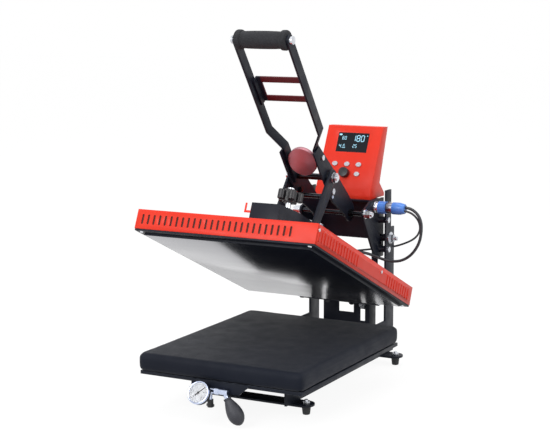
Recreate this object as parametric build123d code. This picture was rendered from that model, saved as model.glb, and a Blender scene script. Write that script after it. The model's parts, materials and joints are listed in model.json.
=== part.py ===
import os
from math import acos, atan2, cos, degrees, hypot, radians, sin, tan

from build123d import *

os.makedirs("parts", exist_ok=True)

# Every length is in millimetres. X is to the right, Y to the rear, Z up, and the floor is Z = 0.
# The press is drawn open, as it stands in the picture. The numbers start under the pad's centre,
# and save() moves each part so that the origin lies under the middle of the whole press.
MIDDLE_Y = 84.2

# Driving sizes of the heating head
TILT = 24.2
HEAD_EDGE = (266.7, 178.6)
COVER = (431.0, 538.0, 43.0)
COVER_WALL = 1.5
PLATE = (400.0, 500.0)
PLATE_HALF_T = 9.0
RIM_T = 4.0
SLOT = (5.0, 22.0)
SLOT_PITCH = 14.24
SLOT_FIRST = -199.7

# Driving sizes of the toggle, in the side view (Y, Z)
HINGE = (343.9, 167.7)
LEVER_PIVOT = (302.4, 378.7)
TOGGLE_PIN = (193.7, 475.8)
LINK_FOOT = (-238.0, 85.0)
LEVER_SWING = 66.49
GRIP = (-44.0, 796.0)
BAR_END = (156.0, 518.0)

# Sideways layers, from the middle outwards
BEAM_HALF = 35.0
BAR_T = 5.0
LEVER_IN = 40.5
LEVER_T = 4.0
LEVER_OUT = LEVER_IN + LEVER_T
LINK_IN = LEVER_OUT + 4.0
LINK_OUT = LINK_IN + 5.0
GRIP_BAR_IN = 62.5
GRIP_BAR_OUT = GRIP_BAR_IN + BAR_T
EAR_IN = 79.0
EAR_OUT = 84.0
SIDE_IN = 99.0
SIDE_OUT = 104.0

# Shafts and clearances
FIT = 0.05
GAP = 0.3
HINGE_R = 8.0
PIVOT_R = 6.0
TOGGLE_R = 7.5

# Base
FOOT_X = 129.0
FOOT_Y = (-90.0, 388.0)
FOOT_R = 10.5
STUD_R = 4.0
BAR_Z = 19.5
RAIL_Z = 24.5
CROSSBAR = (294.0, 44.0)
RAIL_TOP = 85.0
RAIL_FRONT = -135.0
POST_FRONT = 383.0
POST_BACK = 431.0
TRAY_TOP = RAIL_TOP + 8.0


def save(shape, name):
    export_step(Pos(0, -MIDDLE_Y, 0) * shape, f"parts/{name}.step")


def side_plane(x, y=0, z=0):
    return Plane((x, y, z), x_dir=(0, 1, 0), z_dir=(1, 0, 0))


def slab(points, x0, x1):
    return extrude(side_plane(x0) * make_face(Polyline(*points, close=True)), x1 - x0)


def rod_x(at, x0, x1, r):
    return extrude(side_plane(x0, *at) * Circle(r), x1 - x0)


def hex_x(at, x0, x1, flats):
    return extrude(side_plane(x0, *at) * RegularPolygon(flats / 2, 6, major_radius=False), x1 - x0)


def block(x0, x1, y0, y1, z0, z1):
    return Pos((x0 + x1) / 2, (y0 + y1) / 2, (z0 + z1) / 2) * Box(x1 - x0, y1 - y0, z1 - z0)


def rod_z(x, y, z0, z1, r):
    return Pos(x, y, (z0 + z1) / 2) * Cylinder(r, z1 - z0)


def rod_y(x, z, y0, y1, r):
    return Pos(x, (y0 + y1) / 2, z) * Rot(90, 0, 0) * Cylinder(r, y1 - y0)


def both(shape):
    return shape + mirror(shape, Plane.YZ)


def save_pair(shape, name):
    save(shape, name + "_right")
    save(mirror(shape, Plane.YZ), name + "_left")


HEAD = Pos(0, *HEAD_EDGE) * Rot(-TILT, 0, 0)


def on_head(y, z):
    c, s = cos(radians(TILT)), sin(radians(TILT))
    return (HEAD_EDGE[0] + y * c + z * s, HEAD_EDGE[1] - y * s + z * c)


def to_head(y, z):
    c, s = cos(radians(TILT)), sin(radians(TILT))
    dy, dz = y - HEAD_EDGE[0], z - HEAD_EDGE[1]
    return (dy * c - dz * s, dy * s + dz * c)


# Side frames: rail, post, hinge boss and an inward flange under the tray
ANCHOR = (404.0, 308.0)
SPACERS = [(388.0, 354.0), (392.0, 282.0)]
frame_outline = [
    (RAIL_FRONT, RAIL_Z), (POST_BACK, RAIL_Z), (POST_BACK, 334), (412, 334), (412, 426),
    (POST_FRONT, 426), (POST_FRONT, 214), (336, 180), (332, 160), (338, 152.6),
    (POST_FRONT, 151), (POST_FRONT, 107), (300, 107), (272, RAIL_TOP), (RAIL_FRONT, RAIL_TOP),
]
side = slab(frame_outline, SIDE_IN, SIDE_OUT) + rod_x(HINGE, SIDE_IN, SIDE_OUT, 16)
side += block(SIDE_IN - 25, SIDE_IN, RAIL_FRONT, 262, RAIL_TOP - 5, RAIL_TOP)
for spot, r in [(HINGE, HINGE_R), (ANCHOR, 5)] + [(s, STUD_R) for s in SPACERS]:
    side -= rod_x(spot, SIDE_IN - 1, SIDE_OUT + 1, r)
save_pair(side, "side_frame")

# Flat cross bars with round ends that carry the feet
bar = extrude(Pos(0, 0, BAR_Z) * SlotOverall(*CROSSBAR), RAIL_Z - BAR_Z)
for x in (-FOOT_X, FOOT_X):
    bar -= rod_z(x, 0, BAR_Z - 1, RAIL_Z + 1, STUD_R)
save(Compound([Pos(0, y, 0) * bar for y in FOOT_Y]), "crossbars")

# Rubber feet, narrower at the floor, each on a threaded stud
feet = []
fasteners = []
foot = loft([Circle(FOOT_R - 2.5), Pos(0, 0, BAR_Z) * Circle(FOOT_R)]) - rod_z(0, 0, 6, BAR_Z + 1, STUD_R)
stud = rod_z(0, 0, 6, 33, STUD_R)
stud += extrude(Pos(0, 0, RAIL_Z) * RegularPolygon(7.5, 6, major_radius=False), 5)
for x in (-FOOT_X, FOOT_X):
    for y in FOOT_Y:
        feet.append(Pos(x, y, 0) * foot)
        fasteners.append(Pos(x, y, 0) * stud)
save(Compound(feet), "feet")

# Lower rear channel with a window and an adjusting slot
PANEL_HALF = 62.0
PANEL_BOLT = (44.0, 141.0)
panel = block(-PANEL_HALF, PANEL_HALF, 380, 384, RAIL_Z, 160)
panel += both(block(PANEL_HALF - 4, PANEL_HALF, 384, 419, RAIL_Z, 160))
panel -= block(-20, 20, 379, 385, 120, 147) + Pos(44, 382, 116) * Box(13, 8, 30)
panel -= rod_y(*PANEL_BOLT, 379, 385, STUD_R)
save(panel, "rear_panel")
fasteners.append(rod_y(*PANEL_BOLT, 375, 390, STUD_R) + rod_y(*PANEL_BOLT, 375, 380, 7.5))

# Head bracket: a web and a top shelf between two ears that hold the lever shaft
WEB = (390.0, 394.0)
EAR_TOP = 405.0
SOCKET = (361.0, 388.0)
ear_outline = [
    (294, 386), (335, EAR_TOP), (412, EAR_TOP), (412, 262), (372, 262), (348, 288), (293.5, 372),
]
ear = slab(ear_outline, EAR_IN, EAR_OUT) + rod_x(LEVER_PIVOT, EAR_IN, EAR_OUT, 11)
for spot, r in [(ANCHOR, 9)] + [(s, 8) for s in SPACERS]:
    ear += rod_x(spot, EAR_OUT, SIDE_IN, r)
bracket = block(-EAR_IN, EAR_IN, *WEB, 305, EAR_TOP)
bracket += block(-EAR_IN, EAR_IN, 345, WEB[0], EAR_TOP - 4, EAR_TOP) + both(ear)
for spot, r in [(LEVER_PIVOT, PIVOT_R), (ANCHOR, 5)] + [(s, STUD_R) for s in SPACERS]:
    bracket -= both(rod_x(spot, EAR_IN - 1, SIDE_IN + 1, r))
bracket -= rod_x(SOCKET, EAR_IN - 1, EAR_OUT + 1, 8)
save(bracket, "head_bracket")

# Screws and nuts of the frame
for spot in SPACERS:
    bolt = rod_x(spot, EAR_IN, SIDE_OUT, STUD_R) + hex_x(spot, SIDE_OUT, SIDE_OUT + 5, 13)
    fasteners += [bolt, mirror(bolt, Plane.YZ)]
nut = rod_x(LEVER_PIVOT, EAR_OUT, EAR_OUT + 3, 11) + hex_x(LEVER_PIVOT, EAR_OUT + 3, EAR_OUT + 15, 17)
nut -= rod_x(LEVER_PIVOT, EAR_OUT - 1, EAR_OUT + 16, PIVOT_R)
fasteners += [nut, mirror(nut, Plane.YZ)]
save(Compound(fasteners), "frame_bolts")

# Shafts fixed in the frame
shaft = rod_x(LEVER_PIVOT, -EAR_OUT - 20, EAR_OUT + 20, PIVOT_R)
shaft += both(rod_x(LEVER_PIVOT, LEVER_IN - 9, LEVER_IN - GAP, 9.5))
shaft += both(rod_x(LEVER_PIVOT, LEVER_OUT + GAP, LEVER_OUT + 7, 9.5))
hinge_pin = rod_x(HINGE, -SIDE_OUT - 12, SIDE_OUT + 12, HINGE_R)
hinge_pin += both(hex_x(HINGE, SIDE_OUT, SIDE_OUT + 8, 24))
anchor = rod_x(ANCHOR, -SIDE_OUT - 20, SIDE_OUT + 20, 5) + both(rod_x(ANCHOR, SIDE_OUT, SIDE_OUT + 3, 15))
anchor += both(hex_x(ANCHOR, SIDE_OUT + 3, SIDE_OUT + 12, 17))
save(Compound([shaft, hinge_pin, anchor]), "frame_shafts")

# Tray and inflatable membrane pad, whose sides bulge below a softly rounded top edge
save(block(-196, 196, -240, 246, RAIL_TOP, TRAY_TOP), "lower_tray")
pad_rings = [
    (TRAY_TOP + GAP, 400, 498, 10), (97, 406, 504, 13), (106, 408, 506, 16), (118, 406, 504, 17),
    (127, 402, 500, 16), (131.4, 396, 494, 14), (133, 384, 482, 11),
]
save(loft([Pos(0, 0, z) * RectangleRounded(w, d, r) for z, w, d, r in pad_rings]), "membrane_pad")

# Pressure gauge on a bracket under the front of the pad. It leans back to face the operator, and
# its own Y axis runs from its face to the joint on the air pipe
PIPE_Y = -250.5
PIPE_Z = 74.0
GAUGE_X = -30.5
GAUGE_R = 25.0
GAUGE_LEAN = 30.0
GAUGE_JOINT = (GAUGE_X, PIPE_Y, 59.0)
GAUGE = Pos(*GAUGE_JOINT) * Rot(-GAUGE_LEAN, 0, 0)
FACE_Y = -29.5
HOLDER_Y = -240.0
TUBE_X = 12.0
holder_outline = [(-66, 92), (77, 92), (55, 74), (50, 68), (-55, 68), (-66, 80)]
holder_plane = Plane((0, HOLDER_Y, 0), x_dir=(1, 0, 0), z_dir=(0, -1, 0))
holder = extrude(holder_plane * make_face(Polyline(*holder_outline, close=True)), 3)
save(holder - rod_y(TUBE_X, PIPE_Z, HOLDER_Y - 4, HOLDER_Y + 1, 4), "gauge_holder")
bezel = rod_y(0, 0, FACE_Y, FACE_Y + 5, GAUGE_R) - rod_y(0, 0, FACE_Y - 1, FACE_Y + 4, GAUGE_R - 3)
save(GAUGE * bezel, "gauge_bezel")
save(GAUGE * rod_y(0, 0, FACE_Y + 3.2, FACE_Y + 4, GAUGE_R - 3), "gauge_dial")
save(GAUGE * rod_y(0, 0, FACE_Y + 0.4, FACE_Y + 1.2, GAUGE_R - 3), "gauge_lens")
NEEDLE_LEAN = 45.0
pointer = make_face(Polyline((-1.4, -9), (1.4, -9), (0.5, 18), (-0.5, 18), close=True))
needle = extrude(pointer, 0.5) + extrude(Circle(2.6), 1)
save(GAUGE * Pos(0, FACE_Y + 3, 0) * Rot(0, NEEDLE_LEAN, 0) * Rot(90, 0, 0) * needle, "gauge_needle")

# Air pipe, release valve and squeeze bulb
BULB_X = 22.0
BULB_LEAN = 32.0
NECK_Z = 67.0
NECK = Pos(BULB_X, PIPE_Y, NECK_Z) * Rot(0, -BULB_LEAN, 0)
VALVE_X = -15.0
pipe = rod_x((PIPE_Y, PIPE_Z), GAUGE_X - 6, BULB_X + 6, 6)
pipe += hex_x((PIPE_Y, PIPE_Z), -3, 7, 12.5)
pipe += rod_y(TUBE_X, PIPE_Z, PIPE_Y, -200, 4) + rod_z(TUBE_X, -204, PIPE_Z, RAIL_TOP, 4)
pipe += rod_z(VALVE_X, PIPE_Y, 55, PIPE_Z, 4.5) + rod_z(BULB_X, PIPE_Y, NECK_Z, PIPE_Z, 4.6)
pipe += rod_z(GAUGE_X, PIPE_Y, GAUGE_JOINT[2], PIPE_Z, 4.6) + Pos(*GAUGE_JOINT) * Sphere(5.5)
pipe += NECK * (Sphere(5) + rod_z(0, 0, -6, 0, 4.6))
save(pipe, "air_pipe")
case = rod_y(0, 0, FACE_Y + 5, -15, GAUGE_R - 1.5) + rod_y(0, 0, -15, -2, 4.5)
save(GAUGE * case - pipe, "gauge_case")
save(rod_z(VALVE_X, PIPE_Y, 38, 54.7, 6.5) + Pos(VALVE_X, PIPE_Y, 42) * Box(17, 4, 5), "release_valve")
bulb_curve = Spline((0, -62.5), (6, -61), (13.4, -53), (17.4, -41), (17, -31), (13, -16), (7.8, -4), (6.5, 0))
bulb = revolve(Plane.XZ * make_face([bulb_curve, Line((6.5, 0), (0, 0)), Line((0, 0), (0, -62.5))]), Axis.Z)
save(NECK * Pos(0, 0, -6) * bulb, "squeeze_bulb")

# Cover of the heating head, with slots in front and raised louvres on the sides
W, D, H = COVER
SPINDLE_Y = -277.0
shell = block(-W / 2, W / 2, -D, 0, 0, H)
shell -= block(-W / 2 + COVER_WALL, W / 2 - COVER_WALL, -D + COVER_WALL, -COVER_WALL, -1, H - COVER_WALL)
slot_face = SlotOverall(SLOT[1], SLOT[0], rotation=90)
shell -= [
    Pos(SLOT_FIRST + i * SLOT_PITCH, -D + 4, H / 2) * Rot(90, 0, 0) * extrude(slot_face, 8) for i in range(26)
]
louvre = SlotOverall(SLOT[1] + 4, SLOT[0] + 1, rotation=90)
for start, count in ((-D + 16, 15), (-150, 10)):
    for x in (-W / 2 - 1.2, W / 2):
        shell += [extrude(side_plane(x, start + i * SLOT_PITCH, H / 2) * louvre, 1.2) for i in range(count)]
shell -= rod_z(0, SPINDLE_Y, H - 3, H + 1, 15)
save(HEAD * shell, "head_cover")

# Heating plate, its dark rim and the board behind it
rim = Pos(0, -D / 2, -RIM_T / 2) * (Box(W - 2, D - 2, RIM_T) - Box(*PLATE, RIM_T))
save(HEAD * rim, "plate_rim")
save(HEAD * Pos(0, -D / 2, 0) * Box(*PLATE, 2 * PLATE_HALF_T), "heating_plate")
IN_X, IN_Y = W / 2 - COVER_WALL, D - COVER_WALL
board = block(-IN_X, IN_X, -IN_Y, -COVER_WALL, PLATE_HALF_T, H - COVER_WALL)
board -= block(-28, 28, SPINDLE_Y - 28, SPINDLE_Y + 28, PLATE_HALF_T - 1, H)
save(HEAD * board, "insulation_board")
screws = [Pos(x, y, -RIM_T) * Rot(180, 0, 0) * extrude(Circle(4.5), 2.2, taper=20)
          for x in (-201, 201) for y in (-D + 9, -9)]
screws += [rod_x((y, 31), x, x + 2.2, 3.6) for x in (-W / 2 - 2.2, W / 2) for y in (-192, -D + 7)]
save(HEAD * Compound(screws), "cover_screws")

# Pressure spindle with its nut block, and the star knob on top
ROOF = 127.0
nut_block = block(-28, 28, SPINDLE_Y - 28, SPINDLE_Y + 28, PLATE_HALF_T, H - COVER_WALL)
nut_block += rod_z(0, SPINDLE_Y, H - COVER_WALL, H + 12, 15)
save(HEAD * (nut_block - rod_z(0, SPINDLE_Y, PLATE_HALF_T - 1, H + 13, 6 + FIT)), "spindle_nut")
spindle = rod_z(0, SPINDLE_Y, PLATE_HALF_T + 4, 156, 6) + rod_z(0, SPINDLE_Y, ROOF + GAP, ROOF + 8, 11)
spindle += rod_z(0, SPINDLE_Y, ROOF - 12, ROOF - 4 - GAP, 11)
save(HEAD * Compound([spindle, rod_z(0, SPINDLE_Y, 180, 184, 8)]), "pressure_spindle")
knob = rod_z(0, SPINDLE_Y, 150, 180, 15)
for i in range(5):
    lobe = Pos(22, 0, 165) * Cylinder(8.5, 22) + Pos(11, 0, 165) * Box(22, 10, 20)
    knob += Pos(0, SPINDLE_Y, 0) * Rot(0, 0, 72 * i + 20) * lobe
save(HEAD * (knob - rod_z(0, SPINDLE_Y, 149, 156, 6)), "star_knob")

# Beam over the head, from its front to the hinge tube
HINGE_LOCAL = to_head(*HINGE)
FRONT = -379.0
wall_outline = [
    (FRONT, 46), (FRONT, 118.5), (SPINDLE_Y - 10, ROOF), (-194, ROOF), (-191, 97), (-100, 97),
    (-70, 88), (40, 70), (72, 40), (93, 22), (56, 10), (30, 46),
]
roof_outline = [(FRONT, 114.5), (FRONT, 118.5), (SPINDLE_Y - 10, ROOF), (-194, ROOF), (-194, ROOF - 4),
                (SPINDLE_Y - 10, ROOF - 4)]
seat_outline = [(-191, 93), (-191, 97), (-100, 97), (-70, 88), (40, 70), (40, 66), (-70, 84), (-100, 93)]
beam = both(slab(wall_outline, BEAM_HALF - 4, BEAM_HALF) + rod_x(HINGE_LOCAL, BEAM_HALF - 4, BEAM_HALF, 20))
front_outline = [(FRONT, 46), (FRONT, 118.5), (FRONT + 4, 118.5), (FRONT + 4, 46)]
for outline in (roof_outline, seat_outline, front_outline):
    beam += slab(outline, -BEAM_HALF, BEAM_HALF)
for y0, y1 in ((-370, -350), (-215, -195), (-40, -20)):
    beam += block(-BEAM_HALF, BEAM_HALF, y0, y1, H, 50)
beam -= rod_z(0, SPINDLE_Y, ROOF - 8, ROOF + 1, 6 + FIT)
beam -= rod_x(HINGE_LOCAL, -BEAM_HALF - 1, BEAM_HALF + 1, 15)
save(HEAD * beam, "head_beam")
HOOK_X = -BEAM_HALF - 16
angle = block(HOOK_X, HOOK_X + 4, FRONT + 1, FRONT + 3, 99, 117)
angle += block(HOOK_X, -BEAM_HALF, FRONT + 1, FRONT + 3, 95, 100)
angle += block(-BEAM_HALF - 2, -BEAM_HALF, FRONT + 3, FRONT + 27, 95, 112)
save(HEAD * angle, "angle_plate")

# Holding magnet on the beam's seat, just below the disc of the closed lever
MAGNET_Y = -154.7
MAGNET_TOP = 138.4
magnet = rod_z(0, MAGNET_Y, 97, MAGNET_TOP, 33)
magnet -= rod_z(0, MAGNET_Y, MAGNET_TOP - 2, MAGNET_TOP + 1, 26) - rod_z(0, MAGNET_Y, 90, 150, 14)
save(HEAD * magnet, "holding_magnet")

# Hinge tube with two rockers for the gas springs
SPRING_X = 66.0
SPRING_FOOT = (398.0, 190.0)
tube = rod_x(HINGE, -SIDE_IN + 1, SIDE_IN - 1, 15)
rocker = slab([(340, 153), (340, 182.2), (392, 200), (404, 197), (405, 184), (355, 154)], 52, 58)
tube += both(rocker + rod_x(SPRING_FOOT, 52, SPRING_X + 5, 3))
save(tube - rod_x(HINGE, -SIDE_IN, SIDE_IN, HINGE_R + FIT), "hinge_tube")

# Gas springs between the anchor rod and the rockers; the lower eyes are wide because the
# true path of the rocker pin leaves the straight ratio by up to 2 mm
reach = hypot(SPRING_FOOT[0] - ANCHOR[0], ANCHOR[1] - SPRING_FOOT[1])
lean = degrees(atan2(SPRING_FOOT[0] - ANCHOR[0], ANCHOR[1] - SPRING_FOOT[1]))
EYE_R = 5.4
cylinder = rod_z(0, 0, -74, -14, 8) + rod_z(0, 0, -15, -6.5, 3.3) + rod_x((0, 0), -4, 4, 8.5)
cylinder -= rod_x((0, 0), -5, 5, 5 + FIT) + rod_z(0, 0, -75, -18, 4 + FIT)
stem = rod_z(0, 0, -reach + 7, -40, 4) + rod_x((0, -reach), -4.6, 4.6, 9)
stem -= rod_x((0, -reach), -5, 5, EYE_R)
spring_place = Pos(SPRING_X, *ANCHOR) * Rot(lean, 0, 0)
for shape, name in ((spring_place * cylinder, "gas_cylinders"), (spring_place * stem, "gas_rods")):
    save(Compound([shape, mirror(shape, Plane.YZ)]), name)

# Lever plates, drawn along the line from the pivot to the toggle pin
arm = hypot(TOGGLE_PIN[0] - LEVER_PIVOT[0], TOGGLE_PIN[1] - LEVER_PIVOT[1])
along = ((TOGGLE_PIN[0] - LEVER_PIVOT[0]) / arm, (TOGGLE_PIN[1] - LEVER_PIVOT[1]) / arm)


def on_lever(a, n):
    return (LEVER_PIVOT[0] + a * along[0] + n * along[1], LEVER_PIVOT[1] + a * along[1] - n * along[0])


TOP_SCREW = (155.5, 525.4)
LOW_SCREW = (209.8, 441.4)
ROD_AT = on_lever(101, -24)
blade = [(246, -7), (236, 22), (124, 27.5), (40, 29), (4, 28.4), (-6, -16), (19, -17), (90, -32),
         (126, -30), (193, -19)]
plate = slab([on_lever(*p) for p in blade], LEVER_IN, LEVER_OUT)
plate += rod_x(on_lever(0, 5), LEVER_IN, LEVER_OUT, 23.4)
plate_holes = [(LEVER_PIVOT, PIVOT_R + FIT), (TOGGLE_PIN, TOGGLE_R)]
plate_holes += [(ROD_AT, 4), (TOP_SCREW, 3), (LOW_SCREW, 4)]
for spot, r in plate_holes:
    plate -= rod_x(spot, LEVER_IN - 1, LEVER_OUT + 1, r)
save(Compound([plate, mirror(plate, Plane.YZ)]), "lever_plates")
toggle = rod_x(TOGGLE_PIN, -LINK_OUT - 12, LINK_OUT + 12, TOGGLE_R)
toggle += both(rod_x(TOGGLE_PIN, LEVER_OUT, LINK_IN - GAP, 12))
toggle += both(rod_x(TOGGLE_PIN, LINK_OUT + GAP, LINK_OUT + 2, 12))
toggle += both(hex_x(TOGGLE_PIN, LINK_OUT + 2, LINK_OUT + 9, 21))
spacer = rod_x(ROD_AT, -LEVER_IN, LEVER_IN, 5.7) + rod_x(ROD_AT, -LEVER_OUT, LEVER_OUT, 4)
screw = hex_x(LOW_SCREW, LEVER_OUT, LEVER_OUT + 3.5, 13) + rod_x(LOW_SCREW, LEVER_IN - 7, LEVER_OUT, 4)
screw += hex_x(LOW_SCREW, LEVER_IN - 6, LEVER_IN, 12) + hex_x(TOP_SCREW, LEVER_OUT, LEVER_OUT + 3.5, 12)
screw += rod_x(TOP_SCREW, LEVER_IN - BAR_T - 7, LEVER_OUT, 3)
save(Compound([toggle, spacer, screw, mirror(screw, Plane.YZ)]), "lever_pins")

# Handle bars: flat steel, straight in the side view, stepping in to the lever plates
BAR_HALF = 12.5
run = hypot(BAR_END[0] - GRIP[0], BAR_END[1] - GRIP[1])
bar_lean = degrees(atan2(BAR_END[0] - GRIP[0], GRIP[1] - BAR_END[1]))
STEP = (255.3, 302.3)
TAIL = 398.5
TAB_IN = LEVER_IN - BAR_T
HANDLE = Pos(0, *GRIP) * Rot(bar_lean, 0, 0)
step_line = [
    (GRIP_BAR_IN, 0), (GRIP_BAR_IN, -STEP[0]), (TAB_IN, -STEP[1]), (TAB_IN, -TAIL), (LEVER_IN, -TAIL),
    (LEVER_IN, -STEP[1] + 1), (GRIP_BAR_OUT, -STEP[0] + 1), (GRIP_BAR_OUT, 0),
]
strap_plane = Plane((0, BAR_HALF, 0), x_dir=(1, 0, 0), z_dir=(0, -1, 0))
strap = extrude(strap_plane * make_face(Polyline(*step_line, close=True)), 2 * BAR_HALF)
strap += rod_x((0, 0), GRIP_BAR_IN, GRIP_BAR_OUT, BAR_HALF) + rod_x((0, -TAIL), TAB_IN, LEVER_IN, BAR_HALF)
strap = HANDLE * (strap - rod_x((0, 0), GRIP_BAR_IN - 1, GRIP_BAR_OUT + 1, 5))
for spot, r in ((TOGGLE_PIN, TOGGLE_R), (TOP_SCREW, 3)):
    strap -= rod_x(spot, TAB_IN - 1, LEVER_IN + 1, r)
# The brace stands proud of the bars, so that it clears the beam when the press is closed
BRACE = (115.0, 183.0)
BRACE_Y = (15.5, 19.0)
brace = block(-GRIP_BAR_IN, GRIP_BAR_IN, *BRACE_Y, -BRACE[1], -BRACE[0])
brace -= block(-GRIP_BAR_IN + 12, GRIP_BAR_IN - 12, 15, 20, -BRACE[1] + 15, -BRACE[0] - 15)
brace += both(block(GRIP_BAR_IN - 4, GRIP_BAR_IN, 0, BRACE_Y[0], -BRACE[1], -BRACE[0]))
save(Compound([strap, mirror(strap, Plane.YZ), HANDLE * brace]), "handle_frame")
grip_rod = rod_x(GRIP, -GRIP_BAR_OUT, GRIP_BAR_OUT, 5) + rod_x(GRIP, -GRIP_BAR_IN, GRIP_BAR_IN, 8)
save(grip_rod + both(rod_x(GRIP, GRIP_BAR_OUT, GRIP_BAR_OUT + 7, 9)), "grip_rod")
foam_half = [(8, 0), (19.5, 0), (18.8, 47), (21.5, 49), (22, 58), (20, 62), (8, 62)]
foam = revolve(Plane.XZ * make_face(Polyline(*foam_half, close=True)), Axis.Z)
save(Pos(0, *GRIP) * Rot(0, 90, 0) * (foam + mirror(foam, Plane.XY)), "grip_foam")

# Armature disc between the handle bars; it faces the magnet when the press is closed
DISC_T = 10.0
DISC = Pos(0, 146, 516) * Rot(-LEVER_SWING, 0, 0)
save(DISC * Cylinder(35, DISC_T), "armature_disc")
yoke = rod_z(0, 0, DISC_T / 2, 15, 9) + block(-TAB_IN, TAB_IN, -12.5, 12.5, 15, 21)
yoke += both(block(TAB_IN - 8, TAB_IN, -12.5, 12.5, DISC_T / 2 + 0.5, 21))
yoke = DISC * yoke - both(rod_x(TOP_SCREW, TAB_IN - 7, TAB_IN + 1, 3))
save(yoke, "armature_yoke")

# Links from the toggle pin down to the beam, with short pins that stop just clear of it
LINK_END = on_head(*LINK_FOOT)
span = hypot(LINK_END[0] - TOGGLE_PIN[0], LINK_END[1] - TOGGLE_PIN[1])
ny, nz = (TOGGLE_PIN[1] - LINK_END[1]) / span, (LINK_END[0] - TOGGLE_PIN[0]) / span
link = rod_x(TOGGLE_PIN, LINK_IN, LINK_OUT, 19) + rod_x(LINK_END, LINK_IN, LINK_OUT, 13)
edge = [(end[0] + r * ny, end[1] + r * nz) for end, r in
        ((TOGGLE_PIN, 19), (LINK_END, 13), (LINK_END, -13), (TOGGLE_PIN, -19))]
link += slab(edge, LINK_IN, LINK_OUT)
link -= rod_x(TOGGLE_PIN, LINK_IN - 1, LINK_OUT + 1, TOGGLE_R + FIT)
link -= rod_x(LINK_END, LINK_IN - 1, LINK_OUT + 1, 5)
save(Compound([link, mirror(link, Plane.YZ)]), "links")
pin = rod_x(LINK_END, BEAM_HALF + 0.5, LINK_OUT, 5) + rod_x(LINK_END, BEAM_HALF + 0.5, LINK_IN, 9)
pin += hex_x(LINK_END, LINK_OUT, LINK_OUT + 5, 15)
save(Compound([pin, mirror(pin, Plane.YZ)]), "link_pins")

# Control box, folded from 2 mm sheet, with a leaning face
BOX_HALF = 73.0
SHEET = 2.0
FACE_LEAN = 26.2
FACE = Pos(0, 353, 416) * Rot(-FACE_LEAN, 0, 0)
FACE_H = 175.0
top = (353 + FACE_H * sin(radians(FACE_LEAN)), 416 + FACE_H * cos(radians(FACE_LEAN)))
BACK_FOOT = (411.0, 440.0)
BACK_TOP = (457.0, top[1] - 1)
BACK_LEAN = degrees(atan2(BACK_TOP[0] - BACK_FOOT[0], BACK_TOP[1] - BACK_FOOT[1]))
BACK = Pos(0, *BACK_FOOT) * Rot(-BACK_LEAN, 0, 0)
profile = make_face(Polyline((353, EAR_TOP), (353, 416), top, BACK_TOP, BACK_FOOT, (438, 413), (438, EAR_TOP),
                             close=True))
hollow = offset(profile, -SHEET, kind=Kind.INTERSECTION)
box = extrude(side_plane(-BOX_HALF) * profile, 2 * BOX_HALF)
box -= extrude(side_plane(-BOX_HALF + SHEET) * hollow, 2 * (BOX_HALF - SHEET))
SCREEN = (41.0, 107.0, 157.0)
screen = block(-SCREEN[0], SCREEN[0], 0.4, SHEET, SCREEN[1], SCREEN[2])
box -= FACE * block(-SCREEN[0], SCREEN[0], -1, SHEET + 1, SCREEN[1], SCREEN[2])
BUTTONS = [(-34.7, 75.6), (-2.6, 75.6), (28.3, 75.6), (28.3, 51.4)]
DIAL = (-3.5, 52.0)
upright_face = Plane((0, 0, 0), x_dir=(1, 0, 0), z_dir=(0, -1, 0))
for x, z in BUTTONS:
    box -= FACE * Pos(x, -1, z) * extrude(upright_face * Ellipse(7 + GAP, 5.5 + GAP), -4)
box -= FACE * rod_y(*DIAL, -1, SHEET + 1, 3 + FIT)
box -= BACK * block(-58, 58, -4, 1, 18, 118)
save(box, "control_box")
save(FACE * screen, "control_screen")
for i, (x, z) in enumerate(BUTTONS):
    cap = upright_face * Ellipse(7, 5.5)
    button = extrude(cap, 2.5) + extrude(cap, -SHEET - 1)
    button += Pos(0, SHEET + GAP, 0) * extrude(upright_face * Ellipse(9, 7.5), -1.5)
    save(FACE * Pos(x, 0, z) * button, f"button_{i + 1}")
dial = rod_y(*DIAL, -13, -0.6, 12) + rod_y(*DIAL, -0.6, SHEET + 4, 3)
dial += rod_y(*DIAL, SHEET + GAP, SHEET + 4, 5)
dial -= block(DIAL[0] - 0.8, DIAL[0] + 0.8, -14, -12, DIAL[1] + 3, DIAL[1] + 13)
save(FACE * dial, "dial_knob")

# Back plate of the control box with the power inlet and its switch
INLET = (-28.0, 42.0)
SWITCH = (26.0, 42.0)
cover_plate = block(-66, 66, 0, 2, 10, 126)
cover_plate -= block(INLET[0] - 13, INLET[0] + 13, -1, 3, INLET[1] - 9, INLET[1] + 9)
cover_plate -= block(SWITCH[0] - 8, SWITCH[0] + 8, -1, 3, SWITCH[1] - 12, SWITCH[1] + 12)
for i in range(8):
    cover_plate -= block(-40, 40, -1, 3, 70 + 6 * i, 72.5 + 6 * i)
save(BACK * cover_plate, "back_plate")
inlet = block(INLET[0] - 19, INLET[0] + 19, 2, 5, INLET[1] - 12, INLET[1] + 12)
inlet += block(INLET[0] - 13, INLET[0] + 13, -20, 2, INLET[1] - 9, INLET[1] + 9)
inlet -= block(INLET[0] - 11, INLET[0] + 11, -14, 6, INLET[1] - 7, INLET[1] + 7)
for x, z in ((-6, -2), (0, 2.5), (6, -2)):
    inlet += block(INLET[0] + x - 1, INLET[0] + x + 1, -15, 1, INLET[1] + z - 2, INLET[1] + z + 2)
switch_frame = block(SWITCH[0] - 11, SWITCH[0] + 11, 2, 5, SWITCH[1] - 15, SWITCH[1] + 15)
switch_frame -= block(SWITCH[0] - 8, SWITCH[0] + 8, 1, 6, SWITCH[1] - 12, SWITCH[1] + 12)
save(BACK * Compound([inlet, switch_frame]), "power_inlet")
ROCKER_LEAN = 8.0
rocker = Box(15, 5, 21) + Rot(0, 90, 0) * Cylinder(1.5, 15.7)
rocker = Pos(SWITCH[0], 4.5, SWITCH[1]) * Rot(ROCKER_LEAN, 0, 0) * rocker
save(BACK * rocker, "power_switch")

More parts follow.
